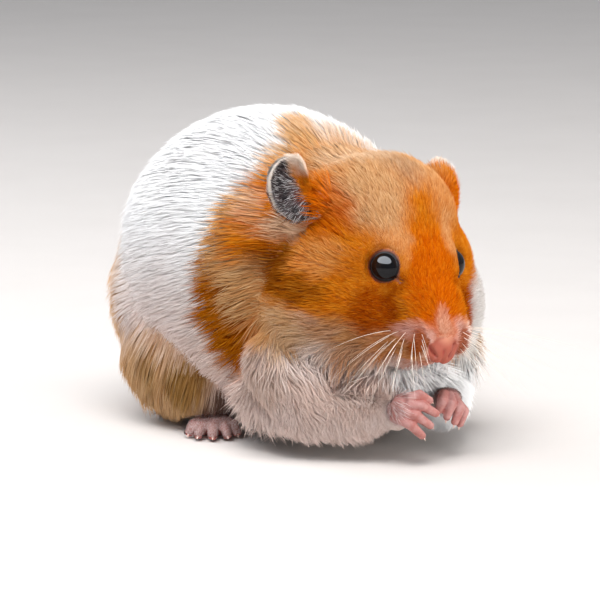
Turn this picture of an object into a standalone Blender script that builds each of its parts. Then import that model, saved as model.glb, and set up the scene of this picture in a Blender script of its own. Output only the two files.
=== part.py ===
"""A life-size Syrian hamster, sitting hunched on its hind feet with its forepaws held together under its chin.

The frame is in metres with +Z up. The animal faces -Y, +X is its left side, and the floor is z = 0. Every size below
is given in millimetres over the tips of the coat and turned into metres by mm(). At the end the whole animal is moved
so that the origin lies on the floor at the middle of its length and width.
"""

from math import cos, radians, sin

import bmesh
import bpy
from mathutils import Euler, Matrix, Vector

MM = 0.001
GAP = 0.3  # clear space between two neighbouring solids
FLOOR = 0.0

# Driving places of the body. Where there are two, this is the one on the animal's right, at -X.
BARREL_CENTRE = (0, 8, 34)
HIP_CENTRE = (0, 21.5, 26.5)
BELLY_CENTRE = (0, 13, 15.5)
CHEST_CENTRE = (0, -15, 24)
THIGH_CENTRE = (-16.8, 16.8, 16.6)
EYE_CENTRE = (-7.9, -39.7, 39.2)
EYE_RADIUS = 3.4
EYE_LOOK = (-0.85, -0.47, 0.2)  # where the eye faces
NOSE_CENTRE = (0, -48.3, 24.3)
EAR_CENTRE = (-19.0, -23.3, 53.2)
SHOULDER = (-19.5, -22.5, 19)
ELBOW = (-17.2, -25.5, 10)
WRIST = (-7.5, -38.8, 9.9)
HEEL = (-13.0, 11.0, 2.4)
SOLE_LENGTH = 17  # from the heel to the root of the middle toe's claw
SOLE_TURN = 38  # degrees that the hind toes point outwards
TAIL_ROOT = (0, 41, 13)

# The head leans over a little to the animal's left, about a fore-and-aft axis through this point.
HEAD_PIVOT = (0, -25, 40)
HEAD_ROLL = 4  # degrees

# Where the head and the neck are parted from the body: the rear lower corner of each, and the lean of both cuts.
HEAD_CORNER = (0, -22, 12)
NECK_CORNER = (0, -14, 5)
PARTING_LEAN = -11.3  # degrees

UPRIGHT = Matrix.Identity(4)

for old in list(bpy.data.objects):
    bpy.data.objects.remove(old)


# ---- shapes


def mm(*values):
    """A point or a size in millimetres, as a vector in metres."""
    return Vector(values) * MM


def mirrored(point, side):
    """The point on the animal's right (side -1) or its twin on the left (side +1)."""
    return (-side * point[0], point[1], point[2])


HEAD = (
    Matrix.Translation(mm(*HEAD_PIVOT))
    @ Matrix.Rotation(radians(HEAD_ROLL), 4, "Y")
    @ Matrix.Translation(-mm(*HEAD_PIVOT))
)


def ellipsoid(shape, centre, radii, turn=(0, 0, 0), frame=UPRIGHT, detail=4):
    """Adds an ellipsoid, turned by Euler angles in degrees, in the frame of the body or of the head."""
    matrix = (
        frame
        @ Matrix.Translation(mm(*centre))
        @ Euler([radians(a) for a in turn]).to_matrix().to_4x4()
        @ Matrix.Diagonal((*mm(*radii), 1))
    )
    bmesh.ops.create_icosphere(shape, subdivisions=detail, radius=1, matrix=matrix)


def limb(shape, stations, frame=UPRIGHT, beads=12, detail=3):
    """Adds a tapering limb: overlapping balls along straight runs between (centre, radius) stations."""
    for (start, wide), (end, narrow) in zip(stations, stations[1:]):
        for i in range(beads + 1):
            t = i / beads
            centre = Vector(start).lerp(Vector(end), t)
            ellipsoid(shape, centre, (wide + (narrow - wide) * t,) * 3, frame=frame, detail=detail)


def new_object(name, shape):
    mesh = bpy.data.meshes.new(name)
    shape.to_mesh(mesh)
    shape.free()
    obj = bpy.data.objects.new(name, mesh)
    bpy.context.scene.collection.objects.link(obj)
    return obj


def settle(obj):
    """Applies the object's modifiers to its mesh."""
    bpy.context.view_layer.update()
    graph = bpy.context.evaluated_depsgraph_get()
    mesh = bpy.data.meshes.new_from_object(obj.evaluated_get(graph))
    obj.modifiers.clear()
    obj.data = mesh
    return obj


def fuse(name, shape, voxel, rounds):
    """Joins the overlapping balls into one skin and melts the creases between them."""
    obj = new_object(name, shape)
    remesh = obj.modifiers.new("fuse", "REMESH")
    remesh.mode = "VOXEL"
    remesh.voxel_size = voxel * MM
    if rounds:
        melt = obj.modifiers.new("melt", "SMOOTH")
        melt.factor = 0.5
        melt.iterations = rounds
    return settle(obj)


def thin_out(obj, triangles):
    """Lowers the number of triangles to about the number given."""
    have = sum(len(p.vertices) - 2 for p in obj.data.polygons)
    if have > triangles:
        thinner = obj.modifiers.new("thin_out", "DECIMATE")
        thinner.ratio = triangles / have
        settle(obj)
    return obj


def clean(obj):
    """Closes the hairline faces that a cut can leave, drops its crumbs and leaves plain triangles."""
    shape = bmesh.new()
    shape.from_mesh(obj.data)
    bmesh.ops.remove_doubles(shape, verts=shape.verts, dist=0.02 * MM)
    bmesh.ops.dissolve_degenerate(shape, edges=shape.edges, dist=0.01 * MM)
    left, islands = set(shape.verts), []
    while left:
        todo, island = [left.pop()], []
        while todo:
            vert = todo.pop()
            island.append(vert)
            for edge in vert.link_edges:
                other = edge.other_vert(vert)
                if other in left:
                    left.remove(other)
                    todo.append(other)
        islands.append(island)
    islands.sort(key=len)
    for island in islands[:-1]:
        bmesh.ops.delete(shape, geom=island, context="VERTS")
    bmesh.ops.triangulate(shape, faces=shape.faces)
    shape.to_mesh(obj.data)
    shape.free()
    return obj


def combine(obj, tool, operation, folded=False):
    """Cuts or trims the solid with the tool, which is folded where it may touch itself."""
    boolean = obj.modifiers.new(operation.lower(), "BOOLEAN")
    boolean.operation = operation
    boolean.object = tool
    boolean.use_self = folded
    return clean(settle(obj))


def duplicate(obj, name):
    twin = bpy.data.objects.new(name, obj.data.copy())
    bpy.context.scene.collection.objects.link(twin)
    return twin


def cut_back(obj, *neighbours, gap=GAP, folded=False):
    """Takes the neighbours, and clear space all round them, out of the solid."""
    for neighbour in neighbours:
        helper = duplicate(neighbour, neighbour.name + "_helper")
        grow = helper.modifiers.new("grow", "DISPLACE")
        grow.strength = gap * MM
        grow.mid_level = 0
        combine(obj, settle(helper), "DIFFERENCE", folded=folded)
        bpy.data.objects.remove(helper)
    return obj


def wedge(corner, spread=0):
    """A helper box that holds all in front of and above the corner, leaning back as the partings do."""
    size = 200 * MM
    shape = bmesh.new()
    bmesh.ops.create_cube(shape, size=size, matrix=Matrix.Translation((0, -size / 2, size / 2)))
    bmesh.ops.translate(shape, vec=mm(0, spread, -spread), verts=shape.verts)
    lean = Matrix.Translation(mm(*corner)) @ Matrix.Rotation(radians(PARTING_LEAN), 4, "X")
    bmesh.ops.transform(shape, matrix=lean, verts=shape.verts)
    return new_object("wedge", shape)


def part_off(body, corner, name):
    """Splits what lies in front of the wedge at the corner off the body, as a solid of its own."""
    piece = duplicate(body, name)
    inner, outer = wedge(corner), wedge(corner, spread=GAP)
    combine(piece, inner, "INTERSECT")
    combine(body, outer, "DIFFERENCE")
    bpy.data.objects.remove(inner)
    bpy.data.objects.remove(outer)
    return piece


def stand_on_floor(obj):
    """Cuts the solid flat at the floor."""
    shape = bmesh.new()
    shape.from_mesh(obj.data)
    everything = shape.verts[:] + shape.edges[:] + shape.faces[:]
    cut = bmesh.ops.bisect_plane(
        shape, geom=everything, dist=1e-7, plane_co=(0, 0, FLOOR), plane_no=(0, 0, -1), clear_outer=True
    )
    rim = [e for e in cut["geom_cut"] if isinstance(e, bmesh.types.BMEdge)]
    if rim:
        bmesh.ops.holes_fill(shape, edges=rim)
    shape.to_mesh(obj.data)
    shape.free()
    return clean(obj)


def finish(obj, colour, roughness):
    """Gives the solid its own material and smooth shading."""
    material = bpy.data.materials.new(obj.name)
    material.use_nodes = True
    surface = material.node_tree.nodes["Principled BSDF"]
    surface.inputs["Base Color"].default_value = (*colour, 1)
    surface.inputs["Roughness"].default_value = roughness
    surface.inputs["Metallic"].default_value = 0
    obj.data.materials.clear()
    obj.data.materials.append(material)
    obj.data.shade_smooth()
    return obj


# ---- the body in one skin: barrel, hips, chest, neck and head, melted together


def build_body():
    shape = bmesh.new()
    ellipsoid(shape, BARREL_CENTRE, (29.5, 36.5, 32.5))
    ellipsoid(shape, HIP_CENTRE, (27.8, 22.5, 26))
    ellipsoid(shape, BELLY_CENTRE, (19, 27, 17.5))
    ellipsoid(shape, CHEST_CENTRE, (21.5, 18, 20))
    ellipsoid(shape, (0, -8, 39), (23, 18, 21))
    ellipsoid(shape, (0, -15, 44), (19, 13, 16))
    # cranium, brow and the broad face between the eyes
    ellipsoid(shape, (0, -27, 46), (17, 14.5, 15), frame=HEAD)
    ellipsoid(shape, (0, -26, 50), (16, 11.5, 10.5), frame=HEAD)
    ellipsoid(shape, (0, -35.5, 42), (12, 7.6, 12.5), (-16, 0, 0), frame=HEAD)
    ellipsoid(shape, (0, -36.5, 38), (11.8, 7.7, 10), frame=HEAD)
    # bridge of the nose down to the blunt muzzle, then the lower jaw
    limb(shape, [((0, -38, 37), 6.7), ((0, -41.6, 30.5), 6.2), ((0, -45.2, 25), 4.9)], frame=HEAD)
    ellipsoid(shape, (0, -39.5, 22.4), (5.5, 6, 3.9), frame=HEAD)
    for side in (-1, 1):
        # cheek, the flat between eye and ear, the fold beside the muzzle, the side of the bridge and the whisker pad
        ellipsoid(shape, (side * 11.8, -27, 29.5), (13.2, 13.8, 14.5), frame=HEAD)
        ellipsoid(shape, (side * 9.5, -28, 38.5), (11, 12.5, 11), frame=HEAD)
        ellipsoid(shape, (side * 7.5, -36.5, 27), (8, 7.5, 9), frame=HEAD)
        ellipsoid(shape, (side * 4.2, -38.4, 38.6), (6.7, 6.7, 7.5), frame=HEAD)
        ellipsoid(shape, (side * 3.9, -41.8, 31), (5.8, 5.7, 6.5), frame=HEAD)
        ellipsoid(shape, (side * 4.9, -44.8, 25.6), (4.7, 4.7, 5.2), frame=HEAD)
    return fuse("trunk", shape, voxel=0.8, rounds=10)


def build_eye(side, name):
    shape = bmesh.new()
    ellipsoid(shape, mirrored(EYE_CENTRE, side), (EYE_RADIUS,) * 3, frame=HEAD, detail=3)
    return thin_out(new_object(name, shape), 200)


def build_orbit(side, name):
    """A shallow dish about the eyeball, which leaves its front half bare."""
    look = Vector(mirrored(EYE_LOOK, side)).normalized()
    centre = Vector(mirrored(EYE_CENTRE, side)) + look * 2.6
    frame = HEAD @ Matrix.Translation(mm(*centre)) @ look.to_track_quat("Z", "Y").to_matrix().to_4x4()
    shape = bmesh.new()
    ellipsoid(shape, (0, 0, 0), (3.7, 3.5, 1.7), frame=frame, detail=2)
    return new_object(name, shape)


def build_nose():
    shape = bmesh.new()
    ellipsoid(shape, NOSE_CENTRE, (2.4, 1.7, 2.0), frame=HEAD, detail=3)
    return thin_out(new_object("nose", shape), 120)


def build_ear(side, name):
    """A cupped flap that opens forwards and outwards: a flattened shell with its front scooped out."""
    turn = Euler([radians(a) for a in (-15, side * 14, side * 22)])
    cup = HEAD @ Matrix.Translation(mm(*mirrored(EAR_CENTRE, side))) @ turn.to_matrix().to_4x4()
    shape, hollow = bmesh.new(), bmesh.new()
    ellipsoid(shape, (0, 0, 0), (5.2, 3.2, 6.8), frame=cup)
    ellipsoid(shape, (-side * 2.6, 1, -4.5), (3.2, 2.6, 3.6), frame=cup)
    ellipsoid(hollow, (side * 0.3, -1.5, 0.5), (4.3, 2.9, 5.8), frame=cup)
    ear = fuse(name, shape, voxel=0.4, rounds=2)
    scoop = new_object("scoop", hollow)
    combine(ear, scoop, "DIFFERENCE")
    bpy.data.objects.remove(scoop)
    rounder = ear.modifiers.new("round_the_rim", "REMESH")
    rounder.mode = "VOXEL"
    rounder.voxel_size = 0.35 * MM
    return thin_out(settle(ear), 300)


# ---- forelegs: elbow by the chest, forearm raised, four fingers curled around what the two paws hold


def build_foreleg(side, name):
    shape = bmesh.new()
    stations = [(SHOULDER, 9), (ELBOW, 6.6), ((-11.5, -33.3, 9.4), 5.6), (WRIST, 3.6)]
    limb(shape, [(mirrored(centre, side), radius) for centre, radius in stations])
    return thin_out(fuse(name, shape, voxel=0.6, rounds=4), 240)


def finger_runs(side):
    """The root, knuckle and tip of each of the four fingers.

    The right paw lies on its side, its fingers one above the other and pointing inwards. The left paw hooks over from
    above, its fingers side by side and pointing down.
    """
    for i in range(4):
        if side < 0:
            root = (-4.4 + 0.1 * i, -43.4, 13.0 - 1.8 * i)
            knuckle = (-3.0 + 0.1 * i, -45.7, 13.1 - 1.95 * i)
            tip = (-1.8 - 0.25 * abs(i - 1), -46.9, 12.0 - 1.95 * i)
        else:
            root = (2.6 + 1.5 * i, -43.2 + 0.8 * i, 12.6)
            knuckle = (2.1 + 1.7 * i, -45.4 + 0.9 * i, 12.2)
            tip = (1.6 + 1.75 * i, -46.0 + 0.9 * i, 9.4 - 0.3 * abs(i - 1))
        yield root, knuckle, tip


def build_forepaw(side, name):
    shape = bmesh.new()
    limb(shape, [(mirrored(WRIST, side), 2.7), (mirrored((-5.4, -42.0, 10.2), side), 2.7)], beads=6)
    if side < 0:
        ellipsoid(shape, (-4.7, -43.0, 10.3), (1.7, 1.9, 3.6))
    else:
        ellipsoid(shape, (5.0, -42.3, 11.8), (3.6, 1.9, 1.9), (0, 0, 22))
    for root, knuckle, tip in finger_runs(side):
        limb(shape, [(root, 0.9), (knuckle, 0.85), (tip, 0.72)], beads=6, detail=2)
    return thin_out(fuse(name, shape, voxel=0.22, rounds=2), 390)


def build_claw(name, root, tip, radius):
    """A short cone from the fingertip, with its point blunted."""
    root, tip = Vector(root), Vector(tip)
    along = tip - root
    shape = bmesh.new()
    bmesh.ops.create_cone(
        shape, cap_ends=True, segments=5, radius1=radius * MM, radius2=0.25 * radius * MM, depth=along.length * MM,
        matrix=Matrix.Translation(mm(*(root + tip) / 2)) @ along.to_track_quat("Z", "Y").to_matrix().to_4x4(),
    )
    bmesh.ops.triangulate(shape, faces=shape.faces)
    return new_object(name, shape)


# ---- hind legs: a broad thigh against the flank, and a long flat foot with five spread toes


def build_hindleg(side, name):
    shape = bmesh.new()
    ellipsoid(shape, mirrored(THIGH_CENTRE, side), (11.4, 17, 15.8))
    ellipsoid(shape, mirrored((-17.5, 8, 10), side), (8, 8, 7))
    return thin_out(fuse(name, shape, voxel=0.9, rounds=5), 210)


def sole_frame(side):
    """The frame of one hind foot: -Y runs from the heel to the toes."""
    turn = Matrix.Rotation(radians(side * SOLE_TURN), 4, "Z")
    return Matrix.Translation(mm(*mirrored(HEEL, side))) @ turn


def toe_runs():
    """The root, knuckle and tip of each of the five toes, in the frame of the foot."""
    for i in range(-2, 3):
        spread = radians(13 * i)
        reach = SOLE_LENGTH - 0.75 * i * i
        out = Vector((sin(spread), -cos(spread), 0))
        base = Vector((1.6 * i, -10.2, 0.1))
        length = reach - 10.2
        yield base, base + out * length * 0.55 + Vector((0, 0, 0.1)), base + out * length - Vector((0, 0, 1.2))


def build_hindfoot(side, name):
    frame = sole_frame(side)
    shape = bmesh.new()
    limb(shape, [((0, 0, 0.2), 3.2), ((0, -5.5, -0.3), 2.6)], frame=frame)
    ellipsoid(shape, (0, -8.0, -0.6), (4.7, 5, 2.4), frame=frame)
    limb(shape, [((0, -2, 1), 3.4), ((0, -6.5, 1), 2.8)], frame=frame)
    for base, knuckle, tip in toe_runs():
        limb(shape, [(base, 1.4), (knuckle, 1.2), (tip, 1.05)], frame=frame, beads=6, detail=2)
    foot = thin_out(fuse(name, shape, voxel=0.28, rounds=2), 390)
    return stand_on_floor(foot)


def build_tail():
    shape = bmesh.new()
    limb(shape, [(TAIL_ROOT, 3.0), ((0, 44.8, 11.4), 2.3), ((0, 47.2, 10.4), 1.2)], beads=8)
    return thin_out(fuse("tail", shape, voxel=0.5, rounds=2), 120)


# ---- putting the animal together

ORANGE = (0.75, 0.22, 0.045)
CREAM = (0.86, 0.80, 0.74)
PINK = (0.80, 0.48, 0.42)
GREY = (0.13, 0.11, 0.10)
BLACK = (0.004, 0.004, 0.005)
HORN = (0.80, 0.68, 0.60)

trunk = build_body()
head = part_off(trunk, HEAD_CORNER, "head")
neck = part_off(trunk, NECK_CORNER, "neck")
thin_out(head, 1450)
thin_out(neck, 340)
thin_out(trunk, 640)
stand_on_floor(trunk)
clean(head)
clean(neck)

nose = build_nose()
tail = build_tail()
cut_back(head, nose)
cut_back(tail, trunk)
finish(nose, PINK, 0.5)

for side, word in ((-1, "right"), (1, "left")):
    eye = build_eye(side, f"eye_{word}")
    orbit = build_orbit(side, "orbit")
    cut_back(head, eye, orbit)
    bpy.data.objects.remove(orbit)
    finish(eye, BLACK, 0.05)

    ear = build_ear(side, f"ear_{word}")
    cut_back(ear, head)
    finish(ear, GREY, 0.8)

    foreleg = build_foreleg(side, f"foreleg_{word}")
    cut_back(neck, foreleg)
    cut_back(trunk, foreleg)
    cut_back(foreleg, head)
    forepaw = build_forepaw(side, f"forepaw_{word}")
    for i, (root, knuckle, tip) in enumerate(finger_runs(side), start=1):
        run = (Vector(tip) - Vector(knuckle)).normalized()
        claw = build_claw(f"foreclaw_{word}_{i}", Vector(tip) + run * 0.3, Vector(tip) + run * 1.9, 0.42)
        cut_back(forepaw, claw, gap=0.1)
        finish(claw, HORN, 0.35)
    cut_back(forepaw, foreleg)
    finish(foreleg, CREAM, 0.9)
    finish(forepaw, PINK, 0.6)

    hindleg = build_hindleg(side, f"hindleg_{word}")
    stand_on_floor(hindleg)
    hindfoot = build_hindfoot(side, f"hindfoot_{word}")
    frame = sole_frame(side)
    for i, (base, knuckle, tip) in enumerate(toe_runs(), start=1):
        run = (tip - knuckle).normalized()
        root, point = (frame @ mm(*(tip + run * reach)) / MM for reach in (0.6, 1.9))
        claw = build_claw(f"hindclaw_{word}_{i}", root, point, 0.42)
        cut_back(hindfoot, claw, gap=0.1)
        stand_on_floor(claw)
        finish(claw, HORN, 0.35)
    cut_back(trunk, hindleg)
    cut_back(hindleg, hindfoot, folded=True)
    cut_back(trunk, hindfoot, folded=True)
    finish(hindleg, CREAM, 0.9)
    finish(hindfoot, PINK, 0.6)

finish(head, ORANGE, 0.9)
finish(neck, ORANGE, 0.9)
finish(trunk, CREAM, 0.9)
finish(tail, PINK, 0.8)

# The origin goes to the floor at the middle of the animal's length and width.
corners = [v.co for obj in bpy.data.objects for v in obj.data.vertices]
middle = [(min(c[k] for c in corners) + max(c[k] for c in corners)) / 2 for k in (0, 1)]
for obj in bpy.data.objects:
    obj.data.transform(Matrix.Translation((-middle[0], -middle[1], FLOOR)))
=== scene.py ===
"""The looks of a life-size Syrian hamster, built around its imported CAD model.

One skin replaces the parts of flesh. A coat of short mesh tufts lies over it, and the eyes, claws and
whiskers are pieces of their own. The frame is in metres with +Z up: the animal faces -Y, and +X is its left
side.
"""

from math import cos, pi, radians, sin

import bmesh
import bpy
import numpy as np
from mathutils import Matrix, Vector, kdtree
from mathutils.bvhtree import BVHTree


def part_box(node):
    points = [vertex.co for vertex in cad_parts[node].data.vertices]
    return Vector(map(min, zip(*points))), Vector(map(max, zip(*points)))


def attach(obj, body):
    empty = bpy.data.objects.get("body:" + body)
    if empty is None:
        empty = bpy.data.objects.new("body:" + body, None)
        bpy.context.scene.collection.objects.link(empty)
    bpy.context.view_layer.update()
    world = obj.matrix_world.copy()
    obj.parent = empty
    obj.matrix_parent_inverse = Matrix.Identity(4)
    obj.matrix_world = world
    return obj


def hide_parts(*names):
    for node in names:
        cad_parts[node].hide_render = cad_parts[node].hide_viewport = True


# ---- the fixed frame and the camera
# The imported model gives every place. The camera looks at the face from in front of the animal's right
# shoulder, from a little above, through a long lens.

MM = 0.001
VIEW_AZIMUTH = radians(-38)
VIEW_ELEVATION = radians(10)
VIEW_DISTANCE = 0.8
VIEW_RIGHT = 23.49 * MM  # how far right of the view's middle the middle of the eyes lies
VIEW_UP = 6.87 * MM
LENS = 240

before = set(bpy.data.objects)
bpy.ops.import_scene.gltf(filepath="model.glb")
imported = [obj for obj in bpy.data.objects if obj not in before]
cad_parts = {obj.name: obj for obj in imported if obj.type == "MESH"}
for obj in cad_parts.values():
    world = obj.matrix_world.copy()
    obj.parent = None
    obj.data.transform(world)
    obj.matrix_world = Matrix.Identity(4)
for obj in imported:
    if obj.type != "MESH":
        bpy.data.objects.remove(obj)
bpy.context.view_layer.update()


def middle(node):
    low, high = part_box(node)
    return (low + high) / 2


right_eye, left_eye = middle("eye_right"), middle("eye_left")
between_eyes = (right_eye + left_eye) / 2
towards_camera = Vector((
    sin(VIEW_AZIMUTH) * cos(VIEW_ELEVATION),
    -cos(VIEW_AZIMUTH) * cos(VIEW_ELEVATION),
    sin(VIEW_ELEVATION),
))
view_right = Vector((cos(VIEW_AZIMUTH), sin(VIEW_AZIMUTH), 0))
view_up = towards_camera.cross(view_right)
target = between_eyes - view_right * VIEW_RIGHT - view_up * VIEW_UP

camera = bpy.data.objects.new("camera", bpy.data.cameras.new("camera"))
camera.data.lens = LENS
camera.data.clip_start = 0.01
camera.location = target + towards_camera * VIEW_DISTANCE
camera.rotation_euler = towards_camera.to_track_quat("Z", "Y").to_euler()
bpy.context.scene.collection.objects.link(camera)
bpy.context.scene.camera = camera

# The head has a frame of its own: its origin lies midway between the eyes, X runs to the left eye and Y
# backwards.
head_x = (left_eye - right_eye).normalized()
head_z = head_x.cross(Vector((0, 1, 0))).normalized()
head_axes = Matrix((head_x, head_z.cross(head_x), head_z)).transposed()
HEAD = Matrix.Translation(between_eyes) @ head_axes.to_4x4()

# ---- the skin
# A hamster's skin is loose and thick over the body and bare on the nose, ears, paws and feet. It is one
# closed surface under the coat: the furred parts are taken in by the coat's depth, and then the bare parts
# are grown onto them.

FURRED = (
    "head", "neck", "trunk", "foreleg_right", "foreleg_left", "hindleg_right", "hindleg_left",
)
BARE = (
    "nose", "tail", "ear_right", "ear_left",
    "forepaw_right", "forepaw_left", "hindfoot_right", "hindfoot_left",
)
CUT_CLOSING = 0.45 * MM  # how far each furred part grows, to close the thin cuts between them
BODY_VOXEL = 0.6 * MM
SKIN_VOXEL = 0.2 * MM
SKIN_TRIANGLES = 185000
REBUILT = ("forepaw_right", "forepaw_left")  # their fingers are made again, finer
BODY_MELT = 24  # rounds of smoothing that melt the creases between the furred parts
NOSE_FULLER = (1.4, 1.0, 1.35)  # how much fuller the nose is than its solid
NOSE_MOVED = (0.55, 0.1, -1.15)  # and how far it is moved, in millimetres
BARE_REACH = 7 * MM  # the coat gets shorter from this far off towards a bare part
EYE_REACH = 5 * MM  # and from this far off towards an eye
LEG_REACH = 3 * MM  # how far off the coat of the foreleg begins


def mm(*values):
    """A place or size in millimetres, as a vector in metres."""
    return Vector(values) * MM


def whole_copy(node):
    """The node's mesh with its loose triangles joined up."""
    shape = bmesh.new()
    shape.from_mesh(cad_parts[node].data)
    bmesh.ops.remove_doubles(shape, verts=shape.verts, dist=0.001 * MM)
    shape.normal_update()
    return shape


def add_to(shape, part):
    """Adds the part to the shape and frees it."""
    mesh = bpy.data.meshes.new("part")
    part.to_mesh(mesh)
    part.free()
    shape.from_mesh(mesh)
    bpy.data.meshes.remove(mesh)


def new_piece(name, shape):
    mesh = bpy.data.meshes.new(name)
    shape.to_mesh(mesh)
    shape.free()
    piece = bpy.data.objects.new(name, mesh)
    bpy.context.scene.collection.objects.link(piece)
    return piece


def settle(piece):
    """Applies the piece's modifiers to its mesh."""
    bpy.context.view_layer.update()
    mesh = bpy.data.meshes.new_from_object(piece.evaluated_get(bpy.context.evaluated_depsgraph_get()))
    piece.modifiers.clear()
    piece.data = mesh


def fuse(piece, voxel, rounds):
    """Joins overlapping closed shapes into one surface and melts its creases."""
    remesh = piece.modifiers.new("fuse", "REMESH")
    remesh.mode = "VOXEL"
    remesh.voxel_size = voxel
    melt = piece.modifiers.new("melt", "SMOOTH")
    melt.factor = 0.5
    melt.iterations = rounds
    settle(piece)


def points_of(mesh):
    points = np.zeros(len(mesh.vertices) * 3, np.float32)
    mesh.vertices.foreach_get("co", points)
    return points.reshape(-1, 3).astype(float)


def normals_of(mesh):
    normals = np.zeros(len(mesh.vertices) * 3, np.float32)
    mesh.vertex_normals.foreach_get("vector", normals)
    return normals.reshape(-1, 3).astype(float)


def lengths(vectors):
    return np.linalg.norm(vectors, axis=1)


def blend(first, second, share):
    """The first where the share is 0, the second where it is 1, and even between them."""
    return first + (second - first) * share


def shade_smooth(mesh):
    mesh.polygons.foreach_set("use_smooth", [True] * len(mesh.polygons))


def set_points(mesh, points):
    mesh.vertices.foreach_set("co", points.astype(np.float32).ravel())
    mesh.update()


def smooth_step(value, start, end):
    """0 before start, 1 after end and an even S between them."""
    t = np.clip((value - start) / (end - start), 0, 1)
    return t * t * (3 - 2 * t)


def surface_tree(nodes):
    """A search tree over the surfaces of CAD nodes."""
    shape = bmesh.new()
    for node in nodes:
        shape.from_mesh(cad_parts[node].data)
    tree = BVHTree.FromBMesh(shape)
    shape.free()
    return tree


def gaps(points, tree):
    """How far each point lies from the surfaces in the tree."""
    return np.array([tree.find_nearest(point)[3] for point in points])


def search_tree(points):
    tree = kdtree.KDTree(len(points))
    for i, point in enumerate(points):
        tree.insert(point, i)
    tree.balance()
    return tree


def in_head(points):
    """The points in the head's own frame, in metres."""
    turn = np.array(HEAD.to_3x3())
    return (points - np.array(HEAD.translation)) @ turn


bare_tree = surface_tree([node for node in BARE if node not in ("ear_right", "ear_left")])
eye_tree = surface_tree(("eye_right", "eye_left"))
foreleg_tree = surface_tree(("foreleg_right", "foreleg_left"))


def overhang(points):
    """1 on the lower edge of the cheeks, where the hair is long and hangs down, and 0 elsewhere."""
    across, backwards, above = (in_head(points) / MM).T
    below = smooth_step(-above, 14.5, 19) * smooth_step(-above, 26, 22) * smooth_step(np.abs(across), 3, 8)
    return below * smooth_step(backwards, -4, 0) * smooth_step(backwards, 20, 12)


def on_body(points):
    """1 on the body, where the coat is longest, and 0 on the head."""
    throat = smooth_step(-in_head(points)[:, 2] / MM, 17, 23)
    return np.maximum(smooth_step(points[:, 1], -22 * MM, -12 * MM), throat)


# How long the coat is in each place, in millimetres.
FACE_COAT = 1.5
NAPE_COAT = 2.7  # added to it towards the back of the head
JAW_COAT = 1.0  # added to it towards the jaw
HANGING_COAT = 2.6  # added to it where it hangs
BODY_COAT = 5.6
LEG_COAT = 3.2
BARE_EDGE_COAT = 0.7
EYE_EDGE_COAT = 0.8


def coat_length(points):
    """How long the coat is over each point, in metres."""
    _, backwards, above = (in_head(points) / MM).T
    face = FACE_COAT + NAPE_COAT * smooth_step(backwards, -4, 20) + JAW_COAT * smooth_step(-above, 4, 16)
    length = blend(face, BODY_COAT, on_body(points))
    leg = smooth_step(gaps(points, foreleg_tree), LEG_REACH, 0.5 * MM)
    length += (LEG_COAT - length) * leg * 0.9
    length += HANGING_COAT * overhang(points)
    by_bare = smooth_step(gaps(points, bare_tree), 0.0, BARE_REACH)
    length = blend(BARE_EDGE_COAT, length, by_bare)
    by_eye = smooth_step(gaps(points, eye_tree), 0.5 * MM, EYE_REACH)
    length = blend(EYE_EDGE_COAT, length, by_eye)
    return length * MM


def looseness(points):
    """1 on the throat, chest and forelegs, where the coat hangs loose, and 0 elsewhere."""
    low = smooth_step(-points[:, 2], -28 * MM, -19 * MM)
    return low * smooth_step(-points[:, 1], 2 * MM, 16 * MM)


def coat_rise(points):
    """How far the coat's tips stand over the skin, as a share of its length: it is loosest on the chest."""
    return 0.23 - 0.1 * on_body(points) + 0.15 * looseness(points) + 0.1 * overhang(points)


flesh = bmesh.new()
for node in FURRED:
    part = whole_copy(node)
    grown = [vert.co + vert.normal * CUT_CLOSING for vert in part.verts]
    for vert, place in zip(part.verts, grown):
        vert.co = place
    add_to(flesh, part)
skin = new_piece("skin", flesh)
fuse(skin, BODY_VOXEL, BODY_MELT)

TAKE_IN_STEPS = 4  # the skin is taken in a little at a time
LOOSE_FULLNESS = 0.55  # how much less it is taken in where the coat hangs loose
places = points_of(skin.data)
taken_in = coat_length(places) * coat_rise(places) * (1 - LOOSE_FULLNESS * looseness(places))
depth = taken_in + CUT_CLOSING
for step in range(TAKE_IN_STEPS):
    set_points(skin.data, points_of(skin.data) - normals_of(skin.data) * depth[:, None] / TAKE_IN_STEPS)
melt = skin.modifiers.new("melt", "SMOOTH")
melt.factor = 0.5
melt.iterations = 6
settle(skin)
places = points_of(skin.data)
places[:, 2] = np.maximum(places[:, 2], 0.3 * MM)  # it lies on the floor
set_points(skin.data, places)


def ball(shape, centre, radii, turn=Matrix.Identity(4), detail=3):
    matrix = Matrix.Translation(centre) @ turn @ Matrix.Diagonal((*radii, 1))
    bmesh.ops.create_icosphere(shape, subdivisions=detail, radius=1, matrix=matrix)


def shared_middle(first, second):
    """The middle of the room that the boxes of two nodes share or leave between them."""
    low = [max(a, b) for a, b in zip(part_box(first)[0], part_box(second)[0])]
    high = [min(a, b) for a, b in zip(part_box(first)[1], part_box(second)[1])]
    return (Vector(low) + Vector(high)) / 2


# Each eyelid is a thin rolled edge close round the eyeball, thicker towards the face. The opening is round,
# with a corner at its front.
EYE_RADIUS = (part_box("eye_right")[1].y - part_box("eye_right")[0].y) / 2
EYE_LOOK = (-0.85, -0.47, 0.2)  # where the right eye faces, in the head's frame
LID_OPENING = radians(50)
LID_FORWARDS = radians(7)  # how much further it reaches in front than behind
LID_CORNER = radians(6)  # how much further the opening reaches at its corner
LID_CORNER_AT = radians(-38)  # where the corner is, round the opening from straight ahead
LID_CORNER_POWER = 9  # how narrow the corner is
LID_CORNER_LINE = ((-8.5, -3.1, -1.6), (-7.3, -4.5, -2.5))  # the dark crease before the right eye
LID_ROWS = (  # how far out each row lies, its radius and how far its middle stands over the eyeball
    (0, 0.26 * MM, -0.03 * MM),
    (radians(11), 0.45 * MM, -0.1 * MM),
    (radians(26), 0.8 * MM, -0.2 * MM),
)
LID_BEADS = 72
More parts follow.
